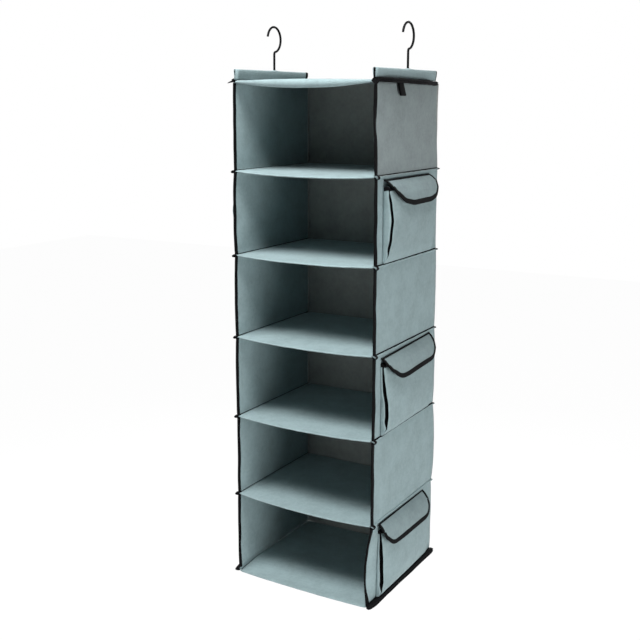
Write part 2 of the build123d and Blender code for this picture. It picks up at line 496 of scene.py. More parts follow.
# the hanging sides: one sheet each, tucked outwards at every shelf
sideWall = {
    # how far the front and the back edge lean inwards, tier by tier from the top
    "frontLean": {"left": (-1.8, -4.0, -3.4, -3.0, -1.6, -2.2), "right": (2.6, 0.9, 0.7, 0.5, 1.2, 1.6)},
    "backLean": {"left": (0.5, 0.8, 1.0, 1.2, 1.0, 1.0), "right": (1.2, 0.4, -2.4, -3.6, -6.0, -2.6)},
    "edgePull": {"left": (1.0, 1.0, 1.5, 1.5, 1.5, 1.5), "right": (1.0, 1.2, 1.5, 1.5, 1.5, 1.5)},
    # the lowest front corner: pulled inwards, and hanging low
    "cornerIn": {"left": 0.4, "right": 8.4},
    "cornerDrop": {"left": 3.4, "right": 11.6},
    "cornerRise": 150,
    # how far behind the front edge a corner's pull is felt
    "frontReach": 70,
    # how far the lowest tier's front edge curls inwards, and how deep the curl is
    "curl": {"left": 0.0, "right": 8.6},
    "curlReach": 24,
    # how far each level hangs low, in front and at the back, from the top seam to the floor
    "levelDrop": {
        "left": ((0,) * 7, (0,) * 7),
        "right": ((0, 0, 0, 3.0, 3.0, 8.5, 0), (0, 0, 0, 0, 0, 5.5, 0)),
    },
    # how far the top back and top front corners are pulled inwards
    "topIn": {"left": 0.0, "right": 3.4},
    "topFrontIn": {"left": 0.0, "right": 2.4},
    # soft waves, and the puckers near a seam: how high, how long
    "waves": 0.8,
    "waveLengths": (46, 38),
    "pucker": 0.55,
    "puckerLengths": (8.5, 21),
    "puckerFade": 8,
    # how the cloth is divided into faces, and how far from a level its plain rows stop
    "rowsPerTier": 15,
    "stationsAcross": 74,
    "topGap": 8.0,
    "seamGap": 5.0,
    "hem": 1.0,
    # the tuck at a shelf, seen end on: outwards, up; it ends in a small nub at the back
    "tuck": [
        (-0.25, 3.4), (-0.6, 2.5), (-0.5, 1.7), (0.4, 1.3), (1.6, 1.1), (2.6, 0.6),
        (3.0, -0.1), (2.7, -0.8), (1.9, -1.3), (0.9, -1.7), (0.0, -2.3), (-0.25, -3.5),
    ],
    "tuckHalf": 3.6,
    "backNub": 2.2,
}


def tierAt(height):
    for tier, (top, bottom) in enumerate(zip(levels, levels[1:])):
        if height >= bottom or tier == lastTier:
            return tier, min(max((top - height) / (top - bottom), 0.0), 1.0)


def sideInward(side, depth, height):
    # how far the sheet leans in from a straight drop
    tier, share = tierAt(height)
    top, bottom = levels[tier], levels[tier + 1]
    seed = 3.1 * tier + (40.0 if side == "left" else 0.0)
    forward = fade(depth, body["front"], body["back"])
    lean = between(sideWall["backLean"][side][tier], sideWall["frontLean"][side][tier], forward)
    bow = lean * hump(share) ** 0.45
    long, tall = sideWall["waveLengths"]
    waves = sideWall["waves"] * uneven(depth / long, height / tall, seed) * hump(share) ** 0.6
    nearest = min(top - height, height - bottom)
    fine, coarse = sideWall["puckerLengths"]
    gathers = uneven(depth / fine, seed, 9.0) + 0.6 * uneven(depth / coarse, seed, 2.0)
    pucker = sideWall["pucker"] * gathers * math.exp(-max(nearest, 0) / sideWall["puckerFade"])
    if tier == lastTier:
        edge = fade(depth, body["front"] - 2, body["front"] + sideWall["curlReach"])
        bow += sideWall["curl"][side] * hump(share) ** 1.2 * edge
    return bow + waves + pucker * ramp(nearest, 2.5, 6)


def nearFront(depth):
    return fade(depth, body["front"], body["front"] + sideWall["frontReach"])


def lowCorner(side, depth, height):
    # how far inwards and how far down the lowest front corner is pulled here
    low = nearFront(depth) * fade(height, body["floor"] - 20, body["floor"] + sideWall["cornerRise"])
    return sideWall["cornerIn"][side] * low, sideWall["cornerDrop"][side] * low


def topCorner(side, depth, height):
    # how far inwards the top corners are pulled here
    atBack = ramp(depth, 10, body["back"]) * ramp(height, levels[1], body["seam"] - 30)
    atFront = fade(depth, body["front"] - 8, body["front"] + 50)
    atFront *= ramp(height, levels[1] + 40, levels[1] + 120)
    return sideWall["topIn"][side] * atBack + sideWall["topFrontIn"][side] * atFront


def levelDrop(side, number, depth):
    # how far a level hangs low here
    front, back = sideWall["levelDrop"][side]
    return between(front[number], back[number], ramp(depth, body["front"], body["back"]))


def sidePoint(side, outward, depth, height):
    # where a point of the side wall hangs
    tier, share = tierAt(height)
    lean = sideInward(side, depth, height)
    pull = sideWall["edgePull"][side][tier] * hump(share)
    moved = depth + pull * nearFront(depth) - 0.7 * pull * ramp(depth, body["back"] - 60, body["back"])
    pulledIn, drop = lowCorner(side, depth, height)
    drop += between(levelDrop(side, tier, depth), levelDrop(side, tier + 1, depth), share)
    across = body["half"] - body["cloth"] / 2 + outward - lean - pulledIn
    across -= topCorner(side, depth, height)
    return Vector((sides[side] * across, moved, height - drop))


def makeSideWall(side):
    outline = [(0.0, body["seam"] - 2.0)]
    for tier, (top, bottom) in enumerate(zip(levels, levels[1:])):
        upper = top - (sideWall["seamGap"] if tier else sideWall["topGap"])
        lower = bottom + (sideWall["seamGap"] if tier < lastTier else -sideWall["hem"])
        outline += [(0.0, height) for height in spread(upper, lower, sideWall["rowsPerTier"])]
        if tier < lastTier:
            outline += [(outward, bottom + rise) for outward, rise in sideWall["tuck"]]
    shape = drawn(outline, spread(body["front"] + 0.8, body["back"] - 0.6, sideWall["stationsAcross"]))
    for level in body["shelves"]:
        # each tuck is closed where it ends at the back
        last = [corner for corner in shape.verts if corner.co.z > body["back"] - 0.7]
        ends = [corner for corner in last if abs(corner.co.y - level) < sideWall["tuckHalf"]]
        shape.faces.new(sorted(ends, key=lambda corner: -corner.co.y))
    laidFlat(shape)

    def place(outward, height, depth):
        point = sidePoint(side, outward, depth, height)
        if outward > 0.05:
            # the tuck stands out further, and past the back edge, where it ends
            last = ramp(depth, body["back"] - 16, body["back"] - 4)
            thin = uneven(depth / 17, height / 50, 5.0)
            point.x += sides[side] * outward * (0.12 * thin + 0.4 * last)
            point.y += sideWall["backNub"] * last * min(outward / 3, 1.0)
            point.z += 0.5 * uneven(depth / 13, height / 40, 8.0)
        return point

    skins = ["upper", "cloth", "tape"]
    for face in shape.faces:
        middle = face.calc_center_median()
        rise = middle.y - min(levels, key=lambda level: abs(level - middle.y))
        # the crease of a tuck takes the black tape finish as painted shade, wider where it ends at the back;
        # the right side's lowest tuck is left plain
        plain = side == "right" and abs(middle.y - levels[lastTier]) < 4
        atEnd = middle.z > body["back"] - 8 and middle.y > levels[lastTier - 1]
        low, high = (-2.0, 2.8) if atEnd else (0.4, 2.2)
        if abs(middle.x + 0.25) > 0.1 and low < rise < high and not plain:
            skin = "tape"
        else:
            # the right side's top tier takes the darker copy of the cloth, painted shade
            skin = "upper" if side == "right" and middle.y > levels[1] else "cloth"
        face.material_index = skins.index(skin)
    bent(shape, place)
    wall = finished(f"{side}Wall", shape, skins, body["cloth"], sharp=75)
    withBody(wall, "body", "grey_cloth", f"{side}_side_panel")
    return foldsUp(wall)


walls = {side: makeSideWall(side) for side in sides}
print("side walls hung")


# the back, sewn to both sides and to each shelf
backWall = {"belly": 2.4, "rowsPerTier": 13, "columns": 46, "seamHalf": 1.6, "seamDip": 2.4, "dipFade": 2.4}


def makeBack():
    rows = [body["seam"] - 2.0]
    seam = backWall["seamHalf"]
    for top, bottom in zip(levels, levels[1:]):
        rows += spread(top - 5, bottom + 5, backWall["rowsPerTier"])
        rows += [bottom + seam, bottom, bottom - seam] if bottom > levels[-1] else [bottom + 0.6]
    half = body["half"] - body["cloth"] - 0.2
    shape = drawn([(0.0, height) for height in rows], spread(-half, half, backWall["columns"]))
    laidFlat(shape)

    def place(_, height, across):
        tier, share = tierAt(height)
        side = "left" if across < 0 else "right"
        edge = abs(across) / half
        corner = sidePoint(side, 0.0, body["back"] - 1.2, height)
        sideways = across - sides[side] * sideInward(side, body["back"] - 1.2, height) * edge**4
        loose = (1 - edge**6) * hump(share) ** 0.7
        belly = backWall["belly"] * loose * (0.6 + 0.8 * uneven(across / 90, tier, 4.0))
        belly += 0.9 * loose * uneven(across / 38, height / 34, 6.0)
        fromSeam = min(abs(height - level) for level in levels)
        dip = backWall["seamDip"] * math.exp(-fromSeam / backWall["dipFade"]) * (1 - edge**8)
        return Vector((sideways, corner.y + belly - dip, height))

    bent(shape, place)
    # the back takes the warmer copy of the cloth, a painted shade tint
    back = finished("backWall", shape, ["back"], body["cloth"], sharp=75)
    withBody(back, "body", "grey_cloth", "back_panel")
    return foldsUp(back)


back = makeBack()
print("back hung")


# boards that sag a little in front, each in a cloth cover that is pinched flat where it is sewn in
cover = {
    "half": 2.4,
    "reach": 148.7,
    "back": body["back"] - 4.2,
    "frontLip": 2.2,
    "columns": 61,
    "cloth": 0.7,
    # how far the cover closes up at its sewn ends, and over which share of its width
    "pinch": 0.82,
    "pinchAt": (0.966, 0.997),
    "sagReach": 130,
    "boardHalf": 1.3,
    "boardReach": 143.2,
    # sag in the middle of the front edge, droop at its left and right ends
    "top": (0.4, 0.0, 0.0),
    "shelf": ((5.0, 0.0, 0.0), (4.4, 0.0, 0.0), (4.6, 0.0, 0.0), (4.8, 0.0, 0.0), (5.4, 0.0, 0.0)),
    "bottom": (0.9, 5.6, 12.2),
}


def plateOutline(rows, half, nose, tail):
    # a flat plate seen end on: its top, its nose, its underside and its tail
    upper = [(depth, half) for depth in rows]
    lower = [(depth, -half) for depth in reversed(rows)]
    return [*upper, *nose, *lower, tail]


def coverOutline():
    half = cover["half"] - cover["cloth"] / 2
    front, lip = body["front"], cover["frontLip"]
    rows = spread(cover["back"], front + 12, 30)
    nose = [
        (front + 7, half * 0.98),
        (front + 3.0, half * 0.8),
        (front + 0.8 - lip * 0.4, half * 0.38),
        (front + 0.3 - lip * 0.5, -half * 0.1),
        (front + 0.8 - lip * 0.4, -half * 0.58),
        (front + 3.0, -half * 0.9),
        (front + 7, -half),
    ]
    return plateOutline(rows, half, nose, (cover["back"] + 0.7, 0.0))


def boardOutline():
    rows = spread(cover["back"] - 1.5, body["front"] + 3.0, 30)
    return plateOutline(rows, cover["boardHalf"], [(rows[-1] - 0.8, 0.0)], (rows[0] + 0.6, 0.0))


def sagging(number, sag, leftDroop, rightDroop, seed, pinched):
    front, reach = body["front"], cover["reach"]
    level = levels[number]

    def place(depth, rise, across):
        edge = abs(across) / reach
        lens = 1 - edge**2.4
        droop = between(leftDroop, rightDroop, 0.5 + 0.5 * across / reach)
        pinch = 1 - cover["pinch"] * pinched * ramp(edge, *cover["pinchAt"])
        frontness = fade(depth, front, front + cover["sagReach"])
        dip = sag * lens * frontness**1.6 + droop * nearFront(depth)
        soft = 0.35 * uneven(across / 40, depth / 36, seed) * lens
        ripple = 0.5 * uneven(across / 16, seed, 3.0) * fade(depth, front, front + 16) * lens
        forward = 1.5 * lens * fade(depth, front, front + 20)
        inward = 1.6 * (1 - lens) * fade(depth, front, front + 30)
        narrow = 0.8 * rightDroop * ramp(across, 60, reach) * nearFront(depth)
        dip += levelDrop("right", number, depth) * (0.5 + 0.5 * across / reach)
        height = level + rise * pinch - dip + soft + ripple
        return Vector((across - narrow, depth - forward + inward, height))

    return place


def makeCover(name, number, settings, where, node, seed, cloth="cloth"):
    columns = spread(-cover["reach"], cover["reach"], cover["columns"])
    shape = drawn(coverOutline(), columns, closed=True)
    laidFlat(shape)
    bent(shape, sagging(number, *settings, seed, 1.0))
    made = finished(f"{name}Cover", shape, [cloth], cover["cloth"], sharp=70)
    withBody(made, where, "grey_cloth", node)

    columns = spread(-cover["boardReach"], cover["boardReach"], cover["columns"])
    shape = drawn(boardOutline(), columns, closed=True, capped=True)
    laidFlat(shape)
    bent(shape, sagging(number, *settings, seed, 0.0))
    board = finished(f"{name}Board", shape, ["board"], sharp=50)
    withBody(board, where, "board", f"{node}_board")
    return made, board


for number, settings in enumerate(cover["shelf"], 1):
    node = f"shelf_{number}"
    makeCover(f"shelf{number}", number, settings, node, node, number * 7.0)
# the top cover takes the darker copy of the cloth, painted shade
makeCover("top", 0, cover["top"], "body", "top_panel", 60.0, "upper")
makeCover("bottom", lastTier + 1, cover["bottom"], "bottom", "bottom_panel", 70.0)
print("covers made")


# the rolled hem along the top front edge, fuller in the middle
frontHem = {
    "above": 3.4,
    "below": 12.6,
    "roll": 8.4,
    "columns": 73,
    "corner": 0.16,
    # the roll seen end on, as shares of its depth and height
    "turn": [
        (0.0, 1.0), (-0.35, 1.02), (-0.68, 0.86), (-0.9, 0.58), (-1.0, 0.24), (-0.97, -0.12), (-0.86, -0.45),
        (-0.66, -0.76), (-0.38, -0.96), (0.0, -1.0), (0.18, -0.6), (0.2, 0.0), (0.18, 0.6),
    ],
}


def makeFrontHem():
    reach = body["half"] - 0.4
    columns = spread(-reach, reach, frontHem["columns"])
    shape = drawn(frontHem["turn"], columns, closed=True, capped=True)
    laidFlat(shape)

    def place(out, rise, across):
        edge = abs(across) / reach
        lens = frontHem["corner"] + (1 - frontHem["corner"]) * (1 - edge**2.1)
        lens *= 1 + 0.05 * uneven(across / 32, 1.0, 2.0)
        top = frontHem["above"] * lens
        bottom = -frontHem["below"] * lens
        height = between(bottom, top, (rise + 1) / 2)
        forward = frontHem["roll"] * lens * out
        return Vector((across, body["front"] + 0.6 + forward, body["seam"] + height))

    bent(shape, place)
    hem = finished("frontHem", shape, ["cloth"], sharp=80)
    withBody(hem, "body", "grey_cloth", "top_front_hem")


makeFrontHem()
print("front hem rolled")


# black tape down each front edge, with a folded stub where it passes a tuck
frontTape = {
    "width": {"left": 6.8, "right": 8.4},
    "thick": 2.9,
    "proud": 1.3,
    "step": 7.0,
    "waver": 0.55,
    "twist": 0.22,
    "tail": {"left": 2.0, "right": 5.0},
    "seed": {"left": 11.0, "right": 23.0},
}
stub = {
    "left": {"reach": 8.8, "tall": 6.4, "deep": 8.5},
    "right": {"reach": 7.4, "tall": 7.6, "deep": 8.0},
    # the cloth that shows in the end of a right stub: how wide the tape round it is, how far back it lies
    "rim": 2.6,
    "hollow": 1.2,
}


def makeFrontTape(side):
    top = body["seam"] - 3.2
    bottom = lowest(f"{side}_front_binding", 2) - frontTape["tail"][side]
    seed = frontTape["seed"][side]
    steps = []
    for height in spread(top, bottom, round((top - bottom) / frontTape["step"])):
        waver = frontTape["waver"] * uneven(height / 31, seed, 0.0)
        point = sidePoint(side, 0.6 * waver, body["front"] + 1.2 + waver, height)
        turn = frontTape["twist"] * uneven(height / 47, seed, 5.0)
        inward = Vector((sides[side] * math.sin(turn), math.cos(turn), 0))
        off = Vector((sides[side] * math.cos(turn), -math.sin(turn), 0))
        steps.append((point, inward, off))
    tape = boundEdge(f"{side}FrontTape", steps, {**frontTape, "width": frontTape["width"][side]})
    withBody(tape, "body", "black_tape", f"{side}_front_binding")
    return foldsUp(tape)


def makeStub(side, number, level):
    size = stub[side]
    half = size["tall"] / 2
    reach = size["reach"]
    outline = [
        (-1.6, half * 0.75),
        (0.5, half * 0.95),
        (reach * 0.5, half),
        (reach * 0.82, half * 0.8),
        (reach, half * 0.15),
        (reach * 0.95, -half * 0.45),
        (reach * 0.75, -half * 0.95),
        (reach * 0.4, -half),
        (0.2, -half),
        (-1.6, -half * 0.8),
    ]
    shape = drawn(outline, spread(0, size["deep"], 4), closed=True, capped=True)
    laidFlat(shape)
    droop = 0.12 + 0.1 * uneven(number * 1.7, 3.0 * sides[side], 2.0)

    def place(out, rise, depth):
        shrink = 1 - 0.18 * abs(2 * depth / size["deep"] - 1) ** 3
        start = body["front"] - 0.6
        across = body["half"] - 0.6 + out * (0.9 + 0.1 * shrink)
        height = level - 0.7 - levelDrop(side, number, start) + rise * shrink - droop * out
        return Vector((sides[side] * across, start + depth, height))

    ends = [face for face in shape.faces if len(face.verts) > 4]
    front = min(ends, key=lambda face: face.calc_center_median().z)
    bent(shape, place)
    if side == "right":
        bmesh.ops.inset_region(shape, faces=[front], thickness=stub["rim"], depth=0.0, use_even_offset=True)
        bmesh.ops.translate(shape, verts=front.verts, vec=(0, stub["hollow"], 0))
        front.material_index = 1
    made = finished(f"{side}TapeStub{number}", shape, ["tape", "cloth"], sharp=70, rounded=0.45)
    withBody(made, f"shelf_{number}", "black_tape")


frontTapes = {side: makeFrontTape(side) for side in sides}
for side in sides:
    for number, level in enumerate(body["shelves"], 1):
        makeStub(side, number, level)
print("front tapes sewn")


# the taped seams along the top and bottom edges of the sides
seamTape = {
    "top": {
        "reach": 10.4,
        "up": 5.4,
        "down": 3.2,
        "start": body["front"] - 1.5,
        "end": body["back"] - 8.0,
        "fall": (1.0, -2.4),
        # how much of its reach and its height the tape has at its ends
        "frontShare": {"left": 0.3, "right": 1.0},
        "frontReach": 60,
        "frontHeight": {"left": 1.0, "right": 1.0},
        "backShare": 0.4,
        "wrap": {"left": 0.0, "right": 4.6},
        "seed": 5.0,
    },
    "bottom": {
        "reach": 10.4,
        "up": 5.8,
        "down": 5.4,
        "start": body["front"] - 0.8,
        "end": body["back"] + 1.0,
        "fall": (0.0, 0.0),
        "frontShare": {"left": 1.12, "right": 0.6},
        "frontReach": 24,
        "frontHeight": {"left": 0.6, "right": 1.0},
        "backShare": 1.0,
        "seed": 9.0,
    },
}
# the tape folded round the seam, seen end on, as shares of its reach and height
seamSection = [
    (0.0, 0.55), (0.3, 0.95), (0.62, 1.0), (0.9, 0.93), (1.0, 0.66), (0.99, 0.34), (0.9, 0.10), (0.86, 0.0),
    (0.9, -0.10), (0.99, -0.36), (0.99, -0.68), (0.88, -0.94), (0.6, -1.0), (0.3, -0.92), (0.0, -0.5),
]


def makeSeamTape(side, edge, level, where):
    size = seamTape[edge]
    half = (size["up"] + size["down"]) / 2
    middle = level + size["up"] - half
    front, seed = size["start"], size["seed"]
    stations = spread(front, size["end"], 48)
    shape = drawn(seamSection, stations, closed=True, capped=True)
    laidFlat(shape)

    def place(out, rise, depth):
        fromEnd = min(depth - stations[0], stations[-1] - depth)
        full = 0.6 + 0.4 * ramp(fromEnd, 0, 8)
        full *= between(size["frontHeight"][side], 1.0, ramp(depth, front, front + 12))
        lift = 0.7 * uneven(depth / 44, seed, sides[side]) + 0.3 * uneven(depth / 15, seed, 4.0)
        lift += between(*size["fall"], ramp(depth, front, size["end"]))
        droop = 1.1 * out * (0.6 + 0.4 * uneven(depth / 60, seed, 7.0))
        swell = 1 + 0.06 * uneven(depth / 18, seed, 1.0)
        reach = size["reach"] * between(0.85, 1.0, full)
        reach *= between(1.0, size["backShare"], ramp(depth, body["back"] - 90, size["end"]))
        reach *= between(size["frontShare"][side], 1.0, ramp(depth, front, front + size["frontReach"]))
        if edge == "bottom":
            pulledIn, drop = lowCorner(side, depth, level)
        else:
            pulledIn, drop = topCorner(side, depth, level), 0.0
            pulledIn += size["wrap"][side] * fade(depth, front, front + 55)
        sideways = body["half"] - 0.3 + reach * out - pulledIn
        height = middle + lift + rise * half * full * swell - droop - drop
        return Vector((sides[side] * sideways, depth, height))

    bent(shape, place)
    tape = finished(f"{side}{edge.capitalize()}Tape", shape, ["tape"], sharp=70)
    return withBody(tape, where, "black_tape", f"{side}_{edge}_binding")


# the front ends of the top tapes: a rolled end on the right, a loose tail on the left
tapeEnd = {
    "right": {
        "start": body["front"] - 2.6,
        "deep": 7.0,
        "outline": [
            (-8.8, -0.2), (-5.6, 3.2), (-2.0, 5.6), (2.4, 5.2),
            (4.2, 0.2), (1.6, -4.4), (-2.2, -6.6), (-5.6, -3.8),
        ],
    },
    "left": {
        "start": body["front"] - 2.2,
        "deep": 5.0,
        "outline": [
            (-5.6, 1.2), (0.4, 1.6), (4.4, 0.6), (8.2, -1.0),
            (11.4, -2.9), (8.0, -2.5), (3.8, -1.9), (-4.6, -1.6),
        ],
    },
}


def makeTapeEnd(side):
    size = tapeEnd[side]
    shape = drawn(size["outline"], spread(0, size["deep"], 4), closed=True, capped=True)
    laidFlat(shape)

    def place(out, rise, depth):
        return Vector((sides[side] * (body["half"] + out), size["start"] + depth, body["seam"] + rise))

    bent(shape, place)
    made = finished(f"{side}TapeEnd", shape, ["tape"], sharp=70, rounded=0.5)
    withBody(made, "body", "black_tape")


topTapes = {side: makeSeamTape(side, "top", body["seam"], "body") for side in sides}
for side in sides:
    makeSeamTape(side, "bottom", body["floor"], "bottom")
for side in sides:
    makeTapeEnd(side)
print("seam tapes sewn")


# sleeves that hold the hanging bars, gathered a little round each hook
sleeve = {
    "top": highest("right_hanger_sleeve", 2) - 0.4,
    "bottom": body["seam"] + 2.9,
    "middle": middleOf("right_hanger_sleeve", 0),
    "front": {"left": body["front"] - 1.2, "right": body["front"] - 0.6},
    "end": highest("right_hanger_sleeve", 1),
    # how much of the back and front ends takes the black tape finish: painted shade for the shaded inside of
    # the open ends
    "edging": {"left": 9.0, "right": 3.2},
    "frontEdging": {"left": 0.0, "right": 1.6},
    # how much of its width the front end has
    "frontWidth": {"left": 0.3, "right": 0.18},
    # the hook's hole, and how far round it the cloth is gathered
    "hole": 3.1,
    "gather": 13,
    "step": 4.6,
    # half of the sleeve seen end on: out from the middle, share of the height
    "half": [
        (3.0, 0.0), (3.5, 0.15), (4.0, 0.32), (4.5, 0.48), (4.85, 0.6),
        (5.0, 0.75), (4.9, 0.88), (4.4, 0.955), (2.9, 0.995),
    ],
    # how much the lower part closes up towards the back
    "closing": {"left": 0.75, "right": 0.1},
}


def makeSleeve(side):
    top, bottom, end = sleeve["top"], sleeve["bottom"], sleeve["end"]
    front = sleeve["front"][side]
    edging = end - sleeve["edging"][side]
    tall = top - bottom
    outline = [(out, bottom + tall * share) for out, share in sleeve["half"]]
    outline += [(0.0, top)]
    outline += [(-out, bottom + tall * share) for out, share in reversed(sleeve["half"])]
    close = [front, front + 1.6, front + 3.3]
    before = spread(front + 5.0, -4.0, round(-front / sleeve["step"]))
    after = spread(4.0, edging, round(edging / sleeve["step"]))
    shape = drawn(outline, [*close, *before, 0.0, *after, (edging + end) / 2, end])
    laidFlat(shape)
    # the ends take the black tape finish, painted shade
    for face in shape.faces:
        station = face.calc_center_median().z
        face.material_index = int(station > edging or station < front + sleeve["frontEdging"][side])
    centre = min(shape.verts, key=lambda corner: (corner.co - Vector((0, top, 0))).length)
    opening = {other for face in centre.link_faces for other in face.verts if other is not centre}
    bmesh.ops.delete(shape, geom=[centre], context="VERTS")
    ring = {corner: math.atan2(corner.co.z, corner.co.x) for corner in opening}

    def place(out, height, depth):
        pulled = math.exp(-((depth / sleeve["gather"]) ** 2))
        share = (height - bottom) / tall
        wave = uneven(depth / 30, height / 24, 7.0 * sides[side])
        ends = between(sleeve["frontWidth"][side], 1.0, ramp(depth, front, front + 5.0))
        closed = sleeve["closing"][side] * ramp(depth, -90, 70) * fade(share, 0.0, 0.62)
        across = out * (1 - 0.06 * pulled) * ends * (1 - closed) + 0.35 * wave * share
        rise = 0.7 * pulled * share + 0.3 * uneven(depth / 33, 2.0, sides[side]) * share
        return Vector((sides[side] * sleeve["middle"] + across, depth, height + rise))

    bent(shape, place)
    for corner, angle in ring.items():
        corner.co.x = sides[side] * sleeve["middle"] + sleeve["hole"] * math.cos(angle)
        corner.co.y = sleeve["hole"] * math.sin(angle)
        corner.co.z = top + 1.3
    made = finished(f"{side}HangerSleeve", shape, ["cloth", "tape"], body["cloth"] - 0.1, sharp=75)
    return withBody(made, "body", "grey_cloth", f"{side}_hanger_sleeve")


sleeves = {side: makeSleeve(side) for side in sides}
print("hanger sleeves made")


# pockets on the outside: a face with a pleated gusset at each end
pocket = {
    "front": lowest("right_upper_pocket", 1),
    "back": highest("right_upper_pocket", 1),
    "mouth": 22.5,
    "foot": 158.5,
    # how far the front fold stands out, down the pocket
    "fold": {
        "upper": ((22, 12.5), (50, 19.5), (80, 23.0), (113, 20.0), (143, 13.0), (151, 8.5), (159, 3.6)),
        "middle": (
            (22, 5.5), (50, 8.5), (70, 11.5), (98, 16.5), (120, 17.5), (144, 15.0), (152, 8.5), (159, 3.6),
        ),
        "lower": ((22, 5.2), (36, 8.0), (54, 10.8), (84, 14.0), (125, 16.0), (146, 13.0), (159, 4.4)),
    },
    "backShare": {"upper": 0.55, "middle": 0.6, "lower": 0.45},
    "crown": {"upper": 1.2, "middle": 3.0, "lower": 5.0},
    # how wide the dark slot of the pleat stands open, and where it opens and closes down the pocket
    "slot": {"upper": 5.6, "middle": 8.0, "lower": 8.8},
    "open": {"upper": (20, 44), "middle": (10, 32), "lower": (10, 34)},
    "close": (128, 153),
    "rows": 41,
    "cloth": 0.8,
    "tape": {"width": 6.5, "thick": 2.3, "proud": 1.0},
}
# a gusset end on: how far behind the pocket's end, how far out; the last part is a deep pleat
gusset = [
    (0.4, 0.0), (-0.9, 0.15), (-1.4, 0.30), (-0.3, 0.42), (-1.1, 0.54), (-0.5, 0.65),
    (1.2, 0.70), (5.0, 0.73), (10.0, 0.77), (14.0, 0.81), (14.4, 0.86),
    (10.0, 0.91), (5.0, 0.95), (1.6, 0.975), (0.3, 0.985), (0.8, 1.0),
]


def makePocket(side, place):
    level = body["shelves"][2 * places.index(place)]
    front, back = pocket["front"] + 1.0, pocket["back"] - 1.0
    outline = [(front + behind, share) for behind, share in gusset]
    outline += [(depth, 1.0) for depth in spread(front + 4, back - 4, 34)]
    outline += [(back - behind, share) for behind, share in reversed(gusset)]
    stations = spread(-pocket["mouth"], -pocket["foot"], pocket["rows"])
    shape = drawn(outline, stations)
    laidFlat(shape)
    for face in shape.faces:
        # the inside of a pleat takes the black tape finish, painted shade for the deep slot
        middle = face.calc_center_median()
        fromEnd = min(middle.x - front, back - middle.x)
        face.material_index = int(2.0 < fromEnd < 16.0 and middle.y < 0.995)
    seed = 13.0 * places.index(place) + (50.0 if side == "left" else 0.0)

    def outAt(depth, share, drop, slack):
        across = (depth - front) / (back - front)
        stand = follow(pocket["fold"][place], drop)
        stand *= between(1.0, pocket["backShare"][place], ramp(across, 0.0, 1.0))
        slot = min(0.9 + pocket["slot"][place] * slack, 0.78 * stand)
        base = stand - slot
        out = base * share / 0.7 if share < 0.7 else base + slot * (share - 0.7) / 0.3
        crown = pocket["crown"][place] * hump(across) ** 0.8 * hump((drop - 15) / 150) * share
        wrinkle = 0.5 * uneven(depth / 42, drop / 36, seed) * hump((drop - 22) / 137) * share
        return out + crown + wrinkle

    def placed(depth, share, height):
        drop = -height
        slack = ramp(drop, *pocket["open"][place]) * fade(drop, *pocket["close"])
        atFront = depth < (front + back) / 2
        tucked = depth
        if share < 0.999:
            # the pleat closes towards the mouth and the foot
            inward = depth - front if atFront else back - depth
            inward = inward * between(0.12, 1.0, slack) if inward > 0 else inward
            tucked = front + inward if atFront else back - inward
        lift = outAt(depth, share, drop, slack)
        # the front gusset stands higher than the mouth
        raised = 5.0 * fade(drop, 22, 34) * fade(share, 0.7, 1.0) * (0.3 + 0.7 * share) * atFront
        return sidePoint(side, 0.9 + lift, tucked, level + height + raised)

    bent(shape, placed)
    name = f"{side}{place.capitalize()}Pocket"
    made = finished(name, shape, ["cloth", "tape"], pocket["cloth"], sharp=65)
    withBody(made, "body", "grey_cloth", f"{side}_{place}_pocket")
    foldsUp(made)

    # the mouth's tape skips the pleats
    turn = [*gusset[1:6], (0.8, 0.98)]
    rim = [(front + behind, share) for behind, share in turn]
    rim += [(depth, 1.0) for depth in spread(front + 4, back - 4, 26)]
    rim += [(back - behind, share) for behind, share in reversed(turn)]
    line = [placed(depth, share, -pocket["mouth"]) for depth, share in rim]
    steps = []
    for number, point in enumerate(line):
        before = line[max(number - 1, 0)]
        after = line[min(number + 1, len(line) - 1)]
        direction = (after - before).normalized()
        off = direction.cross(Vector((0, 0, 1))).normalized() * sides[side]
        steps.append((point, Vector((0, 0, -1)), off))
    edging = boundEdge(f"{name}Tape", steps, pocket["tape"])
    withBody(edging, "body", "black_tape", f"{side}_{place}_pocket_binding")
    foldsUp(edging)
    return made, edging


pockets = {(side, place): makePocket(side, place) for side in sides for place in places}
print("pockets sewn")


